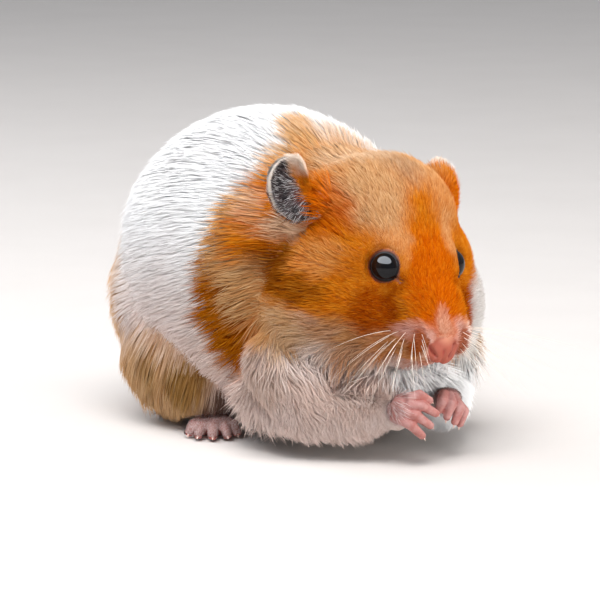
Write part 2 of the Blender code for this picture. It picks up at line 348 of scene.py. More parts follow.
SIDES = ((-1, "right"), (1, "left"))  # the animal's right side is at -X


def mirrored(line, side):
    """A line given for the right side, laid on the side asked for: -1 is right and 1 is left."""
    return [(-side * x, y, z) for x, y, z in line]


def eye_frame(side):
    """The frame of one eye: Z looks out of it, X points forwards along the lids, and Y upwards."""
    look = (HEAD.to_3x3() @ Vector(mirrored([EYE_LOOK], side)[0])).normalized()
    forwards = Vector((0, -1, -0.1))
    forwards = (forwards - look * forwards.dot(look)).normalized()
    upwards = forwards.cross(look) * side
    axes = Matrix((forwards, upwards, look)).transposed()
    return Matrix.Translation(right_eye if side < 0 else left_eye) @ axes.to_4x4()


def lid_direction(angle, out):
    """The direction from the eye's middle to the lid, at an angle round it from the front."""
    corner = max(0, cos(angle - LID_CORNER_AT)) ** LID_CORNER_POWER
    opening = LID_OPENING + LID_FORWARDS * cos(angle) + LID_CORNER * corner + out
    return Vector((sin(opening) * cos(angle), sin(opening) * sin(angle), cos(opening)))


def run_of_balls(shape, stations, beads=8):
    """A tapering limb of overlapping balls between (place, radius) stations."""
    for (start, wide), (end, narrow) in zip(stations, stations[1:]):
        for i in range(beads + 1):
            share = i / beads
            ball(shape, start.lerp(end, share), [wide + (narrow - wide) * share] * 3, detail=2)


def claw_ends(node):
    """The root and tip of a claw, which is a cone: its points lie in a wide ring and a narrow one."""
    points = points_of(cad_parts[node].data)
    centre = points.mean(axis=0)
    axis = np.linalg.svd(points - centre)[2][0]
    heights = (points - centre) @ axis
    ends = []
    for end in (heights > 0, heights <= 0):
        middle_of_end = points[end].mean(axis=0)
        ends.append((lengths(points[end] - middle_of_end).mean(), Vector(middle_of_end)))
    ends.sort(key=lambda end: -end[0])
    return ends[0][1], ends[1][1], ends[0][0]


# The forepaws hang together under the chin. Each finger is (joint, knuckle, tip) in millimetres.
FINGERS = {
    "right": (
        ((-7.0, -45.0, 14.2), (-5.2, -45.8, 14.6), (-2.7, -45.9, 13.2)),
        ((-7.5, -45.3, 12.8), (-5.2, -46.6, 12.6), (-1.9, -46.9, 10.6)),
        ((-8.2, -45.2, 11.2), (-6.4, -46.5, 10.6), (-3.2, -46.8, 8.3)),
        ((-8.8, -44.7, 9.8), (-7.4, -46.0, 8.7), (-5.0, -46.4, 6.4)),
    ),
    "left": (
        ((3.6, -42.9, 13.2), (2.4, -44.0, 12.2), (1.5, -43.8, 10.3)),
        ((5.0, -43.0, 12.8), (4.0, -44.9, 11.6), (2.7, -45.0, 9.0)),
        ((6.6, -43.0, 11.8), (5.9, -45.2, 10.4), (4.6, -45.2, 7.8)),
        ((8.0, -42.2, 10.6), (7.8, -44.2, 9.4), (6.6, -44.4, 7.0)),
    ),
}
PALMS = {
    "right": ((-8.2, -43.6, 11.8), (2.2, 1.9, 3.0)),
    "left": ((6.0, -41.4, 11.6), (3.1, 1.8, 2.2)),
}

# The loose skin between each elbow and the flank: places on its way back, each with a radius, in millimetres.
FLANK_FOLD = ((18.6, -24, 10.6, 5.6), (17.8, -13, 10.8, 6.2), (14, -4, 11.5, 5.6))

EARS = ("ear_right", "ear_left")
EAR_FOLDS = {  # the furred fold before each ear: its middle in the head's frame and its half widths
    "right": ((-14.8, 13.0, 10.5), (2.6, 3.6, 4.6)),
    "left": ((15.2, 13.0, 12.6), (3.6, 3.8, 5.6)),
}
# The right ear's own axes, in the head's frame: up it, forwards across it and out of its hollow.
EAR_AXES = ((-0.07, 0.33, 0.94), (0.89, -0.41, 0.21), (-0.45, -0.85, 0.26))
EAR_BASE = -6.6  # where each ear's base lies on the axis that runs up it, in millimetres
EAR_HEIGHTS = {"ear_right": 1.0, "ear_left": 0.9}
EAR_BACK = 1.12  # how much broader the back of the ear is than its solid
EAR_FRONT = 0.35  # how broad its front is, which a tuft of hair hides
EAR_SPLIT = 1.5  # how far across it, in millimetres, the front begins
EAR_SPLIT_MOVED = 1.68  # and where that comes to lie


def ear_frame(node):
    """The frame of one ear: X runs up it, Y forwards across it, and Z out of its hollow."""
    mirror = np.array((1 if node == "ear_right" else -1, 1, 1))
    axes = [HEAD.to_3x3() @ Vector(np.array(axis) * mirror) for axis in EAR_AXES]
    return Matrix.Translation(middle(node)) @ Matrix(axes).transposed().to_4x4()


def fit_ear(part, node):
    """Broadens the back of the ear and narrows its front, and lowers the left ear a little."""
    turn = ear_frame(node)
    for vert in part.verts:
        up, across, out = (turn.inverted() @ vert.co) / MM
        front = EAR_SPLIT_MOVED + EAR_FRONT * (across - EAR_SPLIT)
        across = EAR_BACK * across if across < EAR_SPLIT else front
        up = EAR_HEIGHTS[node] * (up - EAR_BASE) + EAR_BASE
        vert.co = turn @ mm(up, across, out)


FINGER_ROOT = 1.05 * MM  # radii of each finger
FINGER_KNUCKLE = 1.12 * MM
FINGER_MIDDLE = 1.1 * MM
FINGER_TIP = 0.85 * MM
WRIST = 2.5 * MM  # radii of the balls that join the parts
ANKLE = 2.6 * MM
EAR_ROOT = 2.8 * MM
TAIL_ROOT = 2.4 * MM
LOWER_ARM = 3.0 * MM
HEEL_OF_HAND = 2.6 * MM
EAR_ROOT_INWARDS = 2.6  # how far inwards of the ear's middle its root lies, in millimetres

made_trees = {}  # search trees over the parts that are made again or fitted
finger_trees = []
flesh = bmesh.new()
flesh.from_mesh(skin.data)
for node in BARE:
    if node in REBUILT:
        continue
    part = whole_copy(node)
    if node == "nose":
        moved = Matrix.Translation(middle(node) + mm(*NOSE_MOVED))
        part.transform(moved @ Matrix.Diagonal((*NOSE_FULLER, 1)) @ Matrix.Translation(-middle(node)))
        made_trees[node] = BVHTree.FromBMesh(part)
    if node in EARS:
        fit_ear(part, node)
        made_trees[node] = BVHTree.FromBMesh(part)
    add_to(flesh, part)
links = bmesh.new()
for _, name in SIDES:
    paw = bmesh.new()
    wrist = shared_middle("foreleg_" + name, "forepaw_" + name)
    palm, palm_radii = PALMS[name]
    palm = mm(*palm)
    run_of_balls(links, [(wrist, LOWER_ARM), (palm + (wrist - palm) * 0.3, HEEL_OF_HAND)])
    for joint, knuckle, tip in FINGERS[name]:
        joint, knuckle, tip = mm(*joint), mm(*knuckle), mm(*tip)
        within = palm.lerp(joint, 0.4)
        run_of_balls(paw, [(within, FINGER_ROOT), (joint, FINGER_ROOT), (knuckle, FINGER_KNUCKLE)])
        run_of_balls(paw, [(knuckle, FINGER_MIDDLE), (tip, FINGER_TIP)])
    finger_trees.append(BVHTree.FromBMesh(paw))
    ball(paw, palm, mm(*palm_radii))
    made_trees["forepaw_" + name] = BVHTree.FromBMesh(paw)
    add_to(links, paw)
for side, name in SIDES:
    wrist = shared_middle("foreleg_" + name, "forepaw_" + name)
    ankle = shared_middle("hindleg_" + name, "hindfoot_" + name)
    ear_low, ear_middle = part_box("ear_" + name)[0], middle("ear_" + name)
    ear_root = Vector((ear_middle.x - side * EAR_ROOT_INWARDS * MM, ear_middle.y, ear_low.z))
    for joint, radius in ((wrist, WRIST), (ankle, ANKLE), (ear_root, EAR_ROOT)):
        ball(links, joint, [radius] * 3)
    run_of_balls(links, [(mm(side * x, y, z), radius * MM) for x, y, z, radius in FLANK_FOLD])
    fold, fold_size = EAR_FOLDS[name]
    ball(links, HEAD @ mm(*fold), mm(*fold_size), HEAD.to_3x3().to_4x4())
    for out, thickness, proud in LID_ROWS:
        for i in range(LID_BEADS):
            bead = eye_frame(side) @ (lid_direction(2 * pi * i / LID_BEADS, out) * (EYE_RADIUS + proud))
            ball(links, bead, [thickness] * 3, detail=1)
behind_nose = HEAD @ Vector((0, -6.5 * MM, -14.4 * MM))
ball(links, behind_nose, [2.2 * MM, 2.5 * MM, 2.2 * MM])
ball(links, mm(0, -31, 14), mm(13, 6.5, 6))  # the chest, between the chin and the paws
ball(links, Vector((0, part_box("tail")[0].y, middle("tail").z)), [TAIL_ROOT] * 3)
add_to(flesh, links)
bpy.data.objects.remove(skin)
skin = new_piece("skin", flesh)
fuse(skin, SKIN_VOXEL, 3)

# The fine forms of the face are pulled out of the skin or pressed into it. Their places are in millimetres in
# the head's frame.
nose_x, nose_y, nose_z = NOSE = np.array(HEAD.inverted() @ middle("nose")) / MM
NOSE_MELT = 50  # rounds of smoothing that run the nose into the bridge
NOSE_MELT_REACH = 3.6  # how far about the nose they reach


def edges_of(mesh):
    edges = np.zeros(len(mesh.edges) * 2, np.int32)
    mesh.edges.foreach_get("vertices", edges)
    return edges.reshape(-1, 2)


def neighbours_mean(values, edges, count):
    total = np.zeros_like(values)
    for a, b in ((0, 1), (1, 0)):
        for axis in range(values.shape[1]):
            total[:, axis] += np.bincount(edges[:, a], values[edges[:, b], axis], count)
    ends = np.bincount(edges.ravel(), minlength=count)
    return total / np.maximum(ends, 1)[:, None]


def line_gap(points, line):
    """How far each point lies from a line, in metres. The line is given in millimetres."""
    places = in_head(points)
    near = np.full(len(points), np.inf)
    for start, end in zip(line, line[1:]):
        start, end = np.array(start) * MM, np.array(end) * MM
        run = end - start
        share = np.clip((places - start) @ run / (run @ run), 0, 1)
        near = np.minimum(near, lengths(places - start - share[:, None] * run))
    return near


def press(points, normals, line, width, sink):
    """Sinks the skin along the line that its nearest points make."""
    places = in_head(points) / MM
    line = [places[np.argmin(lengths(places - place))] for place in line]
    near = line_gap(points, line)
    return points - normals * (sink * MM * np.exp(-((near / (width * MM)) ** 2)))[:, None]


def pull(points, centre, radius, move):
    """Moves the points about a centre, most in the middle."""
    away = lengths(in_head(points) / MM - centre) / radius
    share = np.exp(-(away**2))
    return points + share[:, None] * (np.array(HEAD.to_3x3()) @ np.array(move) * MM)


points = points_of(skin.data)
edges = edges_of(skin.data)
near_nose = np.exp(-((lengths(in_head(points) / MM - NOSE) / NOSE_MELT_REACH) ** 2))
for step in range(NOSE_MELT):
    points += (neighbours_mean(points, edges, len(points)) - points) * near_nose[:, None]
points = pull(points, (nose_x, nose_y + 0.6, nose_z - 2.0), 3.4, (0, 0.3, -0.4))
for side in (-1, 1):
    points = pull(points, (nose_x + side * 6.5, nose_y + 5.5, nose_z - 2.5), 3.2, (0, 0.6, 1.3))
set_points(skin.data, points)
normals = normals_of(skin.data)
philtrum = [
    (nose_x, nose_y - 1.7, nose_z - 1.0),
    (nose_x, nose_y - 0.6, nose_z - 3.0),
    (nose_x, nose_y + 1.6, nose_z - 4.6),
]
points = press(points, normals, philtrum, 0.45, 0.4)
for side in (-1, 1):
    nostril = [(side * 3.1, -9.2, -14.7), (side * 2.7, -9.3, -15.9), (side * 1.7, -9.2, -16.9)]
    lip = [
        (nose_x, nose_y + 1.2, nose_z - 4.4),
        (nose_x + side * 2.6, nose_y + 2.4, nose_z - 5.2),
        (nose_x + side * 4.8, nose_y + 5.6, nose_z - 5.2),
    ]
    points = press(points, normals, nostril, 0.45, 0.7)
    points = press(points, normals, lip, 0.7, 0.45)
    points = press(points, normals, mirrored(LID_CORNER_LINE, side), 0.45, 0.35)
points[:, 2] = np.maximum(points[:, 2], 0.02 * MM)  # it lies on the floor
set_points(skin.data, points)

thin = skin.modifiers.new("thin", "DECIMATE")
thin.ratio = min(1, SKIN_TRIANGLES / (2 * len(skin.data.polygons)))
settle(skin)
shade_smooth(skin.data)


class Link:
    """A node's output, with the arithmetic that adds Math nodes to it."""

    def __init__(self, socket):
        self.socket = socket

    def maths(self, operation, first, second):
        node = self.socket.id_data.nodes.new("ShaderNodeMath")
        node.operation = operation
        for i, value in enumerate((first, second)):
            if isinstance(value, Link):
                self.socket.id_data.links.new(value.socket, node.inputs[i])
            else:
                node.inputs[i].default_value = value
        return Link(node.outputs[0])

    def __add__(self, other):
        return self.maths("ADD", self, other)

    def __sub__(self, other):
        return self.maths("SUBTRACT", self, other)

    def __mul__(self, other):
        return self.maths("MULTIPLY", self, other)

    def __rsub__(self, other):
        return self.maths("SUBTRACT", other, self)

    __radd__ = __add__
    __rmul__ = __mul__


class Finish:
    """A material being made: one method adds any node, and the others stand for the commonest ones."""

    def __init__(self, name):
        self.material = bpy.data.materials.new(name)
        self.material.use_nodes = True
        self.tree = self.material.node_tree
        self.tree.nodes.clear()

    def node(self, kind, settings, inputs, output=0):
        """Adds a node, sets its settings and then its sockets, and gives the output asked for, if any."""
        node = self.tree.nodes.new("ShaderNode" + kind)
        for setting, value in settings.items():
            setattr(node, setting, value)
        for socket, value in inputs.items():
            if isinstance(value, Link):
                self.tree.links.new(value.socket, node.inputs[socket])
            else:
                node.inputs[socket].default_value = value
        return Link(node.outputs[output]) if node.outputs else None

    def mix(self, share, under, over):
        """The colour under, with the colour over laid on it by a share from 0 to 1."""
        sockets = {0: share}
        for place, colour in ((6, under), (7, over)):
            sockets[place] = colour if isinstance(colour, Link) else (*colour, 1)
        return self.node("Mix", {"data_type": "RGBA"}, sockets, 2)

    def fade(self, value, start, end):
        """0 where the value is at start, 1 where it is at end, with an even S between them."""
        settings = {"interpolation_type": "SMOOTHSTEP"}
        return self.node("MapRange", settings, {"Value": value, "From Min": start, "From Max": end})

    def noise(self, place, size, detail=2.0):
        """Soft noise about 0.5, whose lumps are about size across."""
        inputs = {"Vector": place, "Scale": 1 / size, "Detail": detail}
        return self.node("TexNoise", {}, inputs)

    def place(self):
        """The place on the piece."""
        return self.node("TexCoord", {}, {}, 3)

    def share(self, name):
        """A share that the piece's points carry."""
        return self.node("Attribute", {"attribute_name": name}, {}, 2)

    def surface(self, inputs):
        """Finishes the material with one Principled shader."""
        shader = self.node("BsdfPrincipled", {}, inputs)
        self.node("OutputMaterial", {}, {"Surface": shader})
        return self.material


# The colours of the coat and of the bare skin, as reflectances.
WHITE = (0.90, 0.90, 0.90)
# painted warm light: the white coat tinted and dimmed as if lit by warm light thrown up from the floor
BOUNCE_WARM_WHITE = (0.68, 0.52, 0.455)
CREAM = (0.82, 0.62, 0.44)
BEIGE = (0.56, 0.32, 0.14)
THROAT_BROWN = (0.44, 0.20, 0.07)
THIGH_BROWN = (0.27, 0.135, 0.035)
THIGH_BEIGE = (0.56, 0.33, 0.16)
SAND = (0.62, 0.35, 0.16)
ASH = (0.42, 0.27, 0.17)
ORANGE = (0.58, 0.17, 0.006)
SADDLE = (0.70, 0.38, 0.14)
DEEP_SADDLE = (0.38, 0.105, 0.002)
RICH_ORANGE = (0.58, 0.115, 0.001)
RUST = (0.32, 0.055, 0.001)
UMBER = (0.19, 0.045, 0.002)
FLESH = (0.36, 0.14, 0.12)
MUZZLE_BEIGE = (0.48, 0.20, 0.075)
PALE_BRIDGE = (0.62, 0.30, 0.19)
FAR_WHITE = (0.64, 0.62, 0.60)
NOSE_PINK = (0.32, 0.085, 0.055)
# painted shade on bare skin: a darker flesh for the shaded hind feet and for the skin's grooves
SHADED_FLESH = (0.30, 0.05, 0.04)
SLATE = (0.035, 0.03, 0.032)
PALE_FRINGE = (0.80, 0.68, 0.58)
# painted warm light and shade: the white of the upper arm, tinted and dimmed as if lit from the floor below
ARM_BOUNCE_WHITE = (0.60, 0.45, 0.38)
# painted shadow: the dark brown of the shade that falls under the belly, above the hind toes
ANKLE_SHADOW_BROWN = (0.09, 0.03, 0.012)
PAD_PINK = (0.50, 0.19, 0.13)
DULL_WHITE = (0.86, 0.85, 0.85)
PALE_FLESH = (0.44, 0.23, 0.21)
PALE_SLATE = (0.10, 0.07, 0.07)
# the ear canal's own pinkish skin, deepened by painted shadow deep in the ear's hollow
SHADED_EAR_CANAL = (0.12, 0.02, 0.01)
EAR_RIM = (0.50, 0.42, 0.36)
LID_BROWN = (0.16, 0.05, 0.025)
LID_BLACK = (0.006, 0.004, 0.004)
RAGGED_SCALE = 260  # the markings' edges are ragged, by this many lumps to the metre
RAGGED_SHIFT = 5 * MM  # and by up to about half of this

HEAD_TURN = HEAD.to_euler()

# Each marking: its middle and its half widths in millimetres, the softness of its edge, its colour and its
# strength. Later ones lie over earlier ones. A pair stands for both sides of the animal, with its middle on
# the right side.
BODY_MARKINGS = (
    # painted warm light and shade: the white of the lower body is tinted and dimmed as if lit by warm light
    # from the floor, most on the right side
    ((-20, 0, 2), (50, 70, 30), 1.0, BOUNCE_WARM_WHITE, 0.9),  # the underside
    ((0, 44, 24), (44, 22, 24), 0.4, SADDLE, 0.85),  # rump
    ("pair", (-25, 18, 9), (10, 16, 12.5), 0.6, THIGH_BEIGE, 1.0),  # thigh
    ("pair", (-25, 6, 12.5), (6, 5, 4.5), 0.9, THIGH_BROWN, 0.95),
    ("pair", (-27, 15.5, 14.5), (6, 2.6, 4), 0.9, THIGH_BROWN, 0.6),
    # painted shadow from the belly, laid on each hind leg above the toes
    ("pair", (-19.5, 2.5, 7), (3.2, 4, 3.4), 0.8, ANKLE_SHADOW_BROWN, 0.85),
    ((-1, -9, 64), (6, 8, 9), 0.35, SADDLE, 0.85),  # patch on the spine
    ((0, -13.5, 40), (80, 9.6, 15), 0.12, SADDLE, 1.0),  # saddle over the shoulders
    ((0, -13.5, 27), (80, 9.8, 12), 0.15, ORANGE, 0.9),
    ("pair", (-26, -8.2, 29), (10, 4.6, 16), 0.4, DEEP_SADDLE, 1.0),
    ("pair", (-25, -9.5, 39.5), (6, 4, 5), 0.8, BEIGE, 0.8),
    ((0, -20, 54), (21, 14, 14), 0.25, SADDLE, 1.0),
    ((7, -12, 61), (8, 12, 9), 0.4, WHITE, 0.95),  # white beside the spine
    # painted warm light and shade on the white of each upper arm
    ("pair", (-28, -19, 17.5), (9, 8.5, 6.5), 0.5, ARM_BOUNCE_WHITE, 1.0),  # upper arm
    ((13, -34, 14), (14, 14, 13), 0.6, WHITE, 1.0),  # chest and left foreleg
)
HEAD_MARKINGS = (
    ((0, 12, 2), (31, 27, 20.5), 0.16, ORANGE, 1.0),  # the whole head
    ((0, 17, 19), (13, 16, 8), 0.9, SAND, 0.9),  # crown
    ((-3, 16, 21.5), (9, 8, 4.5), 0.9, CREAM, 0.55),
    ((-8.5, 4, 13), (6, 8, 7.5), 0.9, SAND, 0.95),  # forehead
    ((8.5, 4, 13), (6, 8, 7.5), 0.9, SAND, 0.4),
    ("pair", (-6.3, -2.5, 6.5), (2.2, 4, 5.5), 0.9, SAND, 0.5),
    ("pair", (-20, 6, 1.5), (5, 7, 3.6), 0.9, SADDLE, 0.35),  # behind the eye
    ((0, 9, 17), (4, 8, 4), 0.9, ASH, 0.55),
    ((0, -4, -6), (6, 9, 14), 0.55, RICH_ORANGE, 0.9),  # bridge of the nose
    ("pair", (-14.5, 10, 9), (4.5, 6, 6), 0.8, RICH_ORANGE, 0.8),  # temple
    ("pair", (-24, 24.5, -7.5), (8, 5.5, 7), 0.5, BEIGE, 0.9),  # pale cheek
    ("pair", (-23.5, 14, -13.4), (9.5, 11, 4.6), 0.8, BEIGE, 0.9),
    ("pair", (-21.5, 20.5, -1.2), (5, 4, 3.6), 0.9, UMBER, 0.7),  # dark flash on each cheek
    ("pair", (-22, 16, -2.2), (6, 4.4, 5.4), 0.7, UMBER, 0.9),
    ("pair", (-22.5, 9.5, -5.2), (6, 6.5, 3.2), 0.9, UMBER, 0.7),
    ("pair", (-14.5, 1, -17.0), (4.5, 5, 4), 0.8, THROAT_BROWN, 0.85),  # towards the throat
    ("pair", (-13, -2.5, -13.5), (6, 5, 3), 0.8, THROAT_BROWN, 0.85),
    # painted warm light from below, laid on the white under the right cheek
    ((-14, 6, -25), (12, 11, 5.2), 0.4, BOUNCE_WARM_WHITE, 1.0),  # under the right cheek
    ("pair", (-19, 1, -12.5), (5, 5, 3), 0.8, THROAT_BROWN, 0.75),
    ((-8.5, -6, -16.5), (6.5, 6, 4.4), 0.7, MUZZLE_BEIGE, 1.0),  # below the pad
    ((9.5, -6, -16), (4.5, 5, 4), 0.7, MUZZLE_BEIGE, 0.5),
    ("pair", (-12.2, -3.2, -8.4), (5.6, 6.2, 5.4), 0.7, RUST, 0.95),  # under each eye
    ((20, 7, -11), (7.5, 13, 11), 0.45, FAR_WHITE, 0.95),  # the left cheek is white
    ("pair", (-18.3, 18.5, 5.4), (4.2, 5, 2.6), 0.9, CREAM, 0.8),  # under each ear
    ("pair", (-21.5, 26, 11), (4, 3.5, 5), 0.9, CREAM, 0.7),  # the edge of the saddle, behind each ear
    ("pair", (-16.3, 16.8, 19.5), (5.4, 5, 2.4), 0.9, PALE_FRINGE, 0.85),  # over each ear
    ("pair", (-7.0, -4.2, -3.2), (1.8, 2.6, 2.6), 0.9, RUST, 0.5),  # before each eye
    ((-6.8, -8.2, -12), (2.7, 3.4, 2.1), 0.8, PAD_PINK, 0.7),  # the right whisker pad
    ("pair", (-4.9, -9.2, -14.8), (1.7, 2.6, 3.2), 0.7, RUST, 0.9),
    ((0.8, -9.4, -10.8), (1.5, 3.0, 2.8), 0.8, PALE_BRIDGE, 0.9),  # bare line over the nose
    ((1, -5, -22.6), (8, 9, 3.4), 0.4, WHITE, 1.0),  # chin
)


def both_sides(rows):
    """The markings with each pair given as its right and its left one."""
    for row in rows:
        if row[0] != "pair":
            yield row
            continue
        for side in (-1, 1):
            x, y, z = row[1]
            yield ((-side * x, y, z), *row[2:])


def blot(finish, place, turn, centre, widths, softness):
    """How far a place lies within a soft-edged ellipsoid, from 0 to 1. Its half widths are in millimetres."""
    settings = {"vector_type": "TEXTURE"}
    inputs = {"Vector": place, "Location": centre, "Rotation": turn, "Scale": mm(*widths)}
    local = finish.node("Mapping", settings, inputs)
    away = finish.node("VectorMath", {"operation": "LENGTH"}, {0: local}, 1)
    return finish.fade(away, 1 + softness / 2, 1 - softness / 2)


def markings(finish, place):
    """The colour of the coat at a place: the same on the skin and on the tufts."""
    ragged = finish.node("TexNoise", {}, {"Vector": place, "Scale": RAGGED_SCALE, "Detail": 3.0}, 1)
    shift = finish.node("VectorMath", {"operation": "SUBTRACT"}, {0: ragged, 1: (0.5, 0.5, 0.5)})
    inputs = {0: shift, 1: [RAGGED_SHIFT] * 3, 2: place}
    place = finish.node("VectorMath", {"operation": "MULTIPLY_ADD"}, inputs)
    colour = finish.mix(finish.fade(finish.noise(place, 9 * MM), 0.35, 0.75), WHITE, DULL_WHITE)
    body_rows = (BODY_MARKINGS, Matrix.Identity(4), (0, 0, 0))
    for rows, axes, turn in (body_rows, (HEAD_MARKINGS, HEAD, HEAD_TURN)):
        for centre, widths, softness, over, strength in both_sides(rows):
            share = blot(finish, place, turn, axes @ mm(*centre), widths, softness)
            colour = finish.mix(share * strength, colour, over)
    return colour


def write_attribute(mesh, name, values):
    """Gives each point of the mesh a number or a vector of its own."""
    kind, key = ("FLOAT", "value") if values.ndim == 1 else ("FLOAT_VECTOR", "vector")
    attribute = mesh.attributes.new(name, kind, "POINT")
    attribute.data.foreach_set(key, values.astype(np.float32).ravel())


def share_near(points, nodes, start, end):
    """1 on the nodes and 0 away from them, fading between two distances."""
    near = [gaps(points, made_trees[node] if node in made_trees else surface_tree([node])) for node in nodes]
    return smooth_step(np.min(near, axis=0), end, start)


def outer_gaps(points, tree):
    """How far each point lies outside the closed surface in the tree, and 0 inside it."""
    outer = []
    for point in points:
        hit, out, _, gap = tree.find_nearest(point)
        outer.append(gap if (Vector(point) - hit).dot(out) > 0 else 0.0)
    return np.array(outer)


def hollows(mesh, rounds):
    """How deep each point lies in a groove, in metres: how far it moves out when the mesh is smoothed."""
    points = smoothed = points_of(mesh)
    edges = edges_of(mesh)
    for step in range(rounds):
        smoothed = (smoothed + neighbours_mean(smoothed, edges, len(points))) / 2
    return ((smoothed - points) * normals_of(mesh)).sum(axis=1)


PAWS = ("forepaw_right", "forepaw_left", "hindfoot_right", "hindfoot_left")
EAR_BARENESS = {"ear_right": 1.0, "ear_left": 0.15}  # the left one is furred in front
LID_CORNER_WIDTH = 0.3 * MM  # how far the lid's dark edge reaches from the corner's crease
HOLLOW_ROUNDS = 8
points = points_of(skin.data)
on_paws = share_near(points, PAWS, 0.5 * MM, 1.6 * MM)
# where the hind feet get painted shade
foot_shade_share = share_near(points, PAWS[2:], 0.5 * MM, 1.6 * MM)
on_ears, ear_rim, canal_shade = np.zeros((3, len(points)))
for (side, _), node in zip(SIDES, EARS):
    turn = np.array(ear_frame(node))
    up, across, out = ((points - turn[:3, 3]) @ turn[:3, :3] / MM).T
    this_side = points[:, 0] * side > 0
    stands_free = smooth_step(np.hypot(up / 7.5, across / 6.6), 1.05, 0.98)
    stands_free *= smooth_step(np.abs(out), 4.2, 3.6)
    inside = smooth_step(normals_of(skin.data) @ turn[:3, 2], -0.25, 0.15)
    behind_tuft = smooth_step(1.4 - 0.3 * up - across, -0.4, 0.4) * smooth_step(up, -7.0, -6.2)
    strength = EAR_BARENESS[node]
    on_ears += stands_free * behind_tuft * (0.25 + 0.75 * inside) * this_side * strength
    ear_rim += smooth_step(np.hypot(up / 6.8, (across - 0.1) / 5.7), 0.9, 0.98) * this_side
    # painted shadow deep in each ear's hollow, over the canal's own pinkish skin
    canal_shade += smooth_step(np.hypot((up + 1) / 4.5, (across - 1) / 2.5), 1.0, 0.3) * this_side
on_nose = smooth_step(outer_gaps(points, made_trees["nose"]), 1.3 * MM, 0.3 * MM)
on_tail = share_near(points, ("tail",), 0.5 * MM, 1.5 * MM)
eye_gap = np.full(len(points), np.inf)
for side, _ in SIDES:
    from_eye = lengths(points - np.array(eye_frame(side).translation)) - EYE_RADIUS
    from_corner = line_gap(points, mirrored(LID_CORNER_LINE, side)) - LID_CORNER_WIDTH
    eye_gap = np.minimum.reduce([eye_gap, from_eye, from_corner])
by_eyes = smooth_step(eye_gap, 1.4 * MM, 0.0)
skin_shares = {
    "flesh": np.maximum.reduce([on_paws, on_nose, on_tail]),
    "ear": on_ears,
    "rim": ear_rim,
    "canal": canal_shade,
    # painted shade in the grooves: the deeper a point lies in one, the darker its flesh
    "hollow": smooth_step(hollows(skin.data, HOLLOW_ROUNDS), 0.01 * MM, 0.12 * MM),
    "lid": by_eyes,
    "nose": on_nose,
    # painted shade on the hind feet
    "foot": foot_shade_share,
}
for name, values in skin_shares.items():
    write_attribute(skin.data, name, values)

finish = Finish("skin")
place = finish.place()
lid_share = finish.share("lid")
mottling = finish.noise(place, 1.6 * MM, 4.0)
flesh_colour = finish.mix(finish.fade(mottling, 0.35, 0.65), FLESH, PALE_FLESH)
flesh_colour = finish.mix(finish.share("nose"), flesh_colour, NOSE_PINK)
nose_top = blot(finish, place, HEAD_TURN, HEAD @ mm(0.9, -9.6, -11.2), (2.4, 3.0, 2.8), 1.0)
flesh_colour = finish.mix(nose_top * 0.85, flesh_colour, PALE_BRIDGE)
# painted shade: the hind feet are darkened
flesh_colour = finish.mix(finish.share("foot") * 0.45, flesh_colour, SHADED_FLESH)
# painted shade in the skin's grooves and creases, such as between the fingers
flesh_colour = finish.mix(finish.share("hollow") * 0.8, flesh_colour, SHADED_FLESH)
ear_colour = finish.mix(finish.fade(mottling, 0.35, 0.7), SLATE, PALE_SLATE)
# painted shadow deep in the ear, over the canal's own pinkish skin
ear_colour = finish.mix(finish.share("canal"), ear_colour, SHADED_EAR_CANAL)
ear_colour = finish.mix(finish.share("rim"), ear_colour, EAR_RIM)
colour = markings(finish, place)
colour = finish.mix(0.05, colour, UMBER)
colour = finish.mix(finish.share("flesh"), colour, flesh_colour)
colour = finish.mix(finish.share("ear"), colour, ear_colour)
colour = finish.mix(finish.fade(lid_share, 0.7, 0.88), colour, LID_BROWN)
colour = finish.mix(finish.fade(lid_share, 0.91, 0.97), colour, LID_BLACK)
inputs = {"Vector": place, "Scale": 1 / (0.5 * MM)}
creases = finish.node("TexVoronoi", {"feature": "DISTANCE_TO_EDGE"}, inputs)
relief = creases * 0.6 + finish.noise(place, 0.25 * MM, 3.0)
bump = finish.node("Bump", {}, {"Strength": 0.35, "Distance": 0.1 * MM, "Height": relief})
skin_finish = finish.surface({
    "Base Color": colour,
    "Roughness": mottling * 0.3 + 0.4,
    "Normal": bump,
    "Subsurface Weight": 0.15,
    "Subsurface Radius": (1.0, 0.35, 0.2),
    "Subsurface Scale": 0.6 * MM,
    "Specular IOR Level": 0.12,
})
skin.data.materials.clear()
skin.data.materials.append(skin_finish)
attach(skin, "root")
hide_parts(*FURRED, *BARE)

# ---- the eyes
# A hamster's eye is nearly all pupil: a dark, wet ball that stands half out of its lids. Each is one glossy
# ball, a little fuller in front, set where its socket is.

CORNEA_RISE = 0.03  # share of the radius by which the front stands proud
EYE_BLACK = (0.003, 0.003, 0.004)
EYE_BROWN = (0.012, 0.006, 0.004)

finish = Finish("eye")
place = finish.place()
depth_of_brown = finish.fade(finish.noise(place, 2.5 * MM), 0.4, 0.7)
eye_finish = finish.surface({
    "Base Color": finish.mix(depth_of_brown, EYE_BLACK, EYE_BROWN),
    "Roughness": finish.noise(place, 0.6 * MM) * 0.02 + 0.02,
    "Specular IOR Level": 0.2,
})
for side, name in SIDES:
    shape = bmesh.new()
    bmesh.ops.create_icosphere(shape, subdivisions=5, radius=EYE_RADIUS)
    for vert in shape.verts:
        vert.co *= 1 + CORNEA_RISE * max(0, vert.co.z / EYE_RADIUS) ** 2
    shape.transform(eye_frame(side))
    bmesh.ops.recalc_face_normals(shape, faces=shape.faces)
    eye = new_piece("eyeball_" + name, shape)
    shade_smooth(eye.data)
    eye.data.materials.append(eye_finish)
    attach(eye, "root")
    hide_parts("eye_" + name)

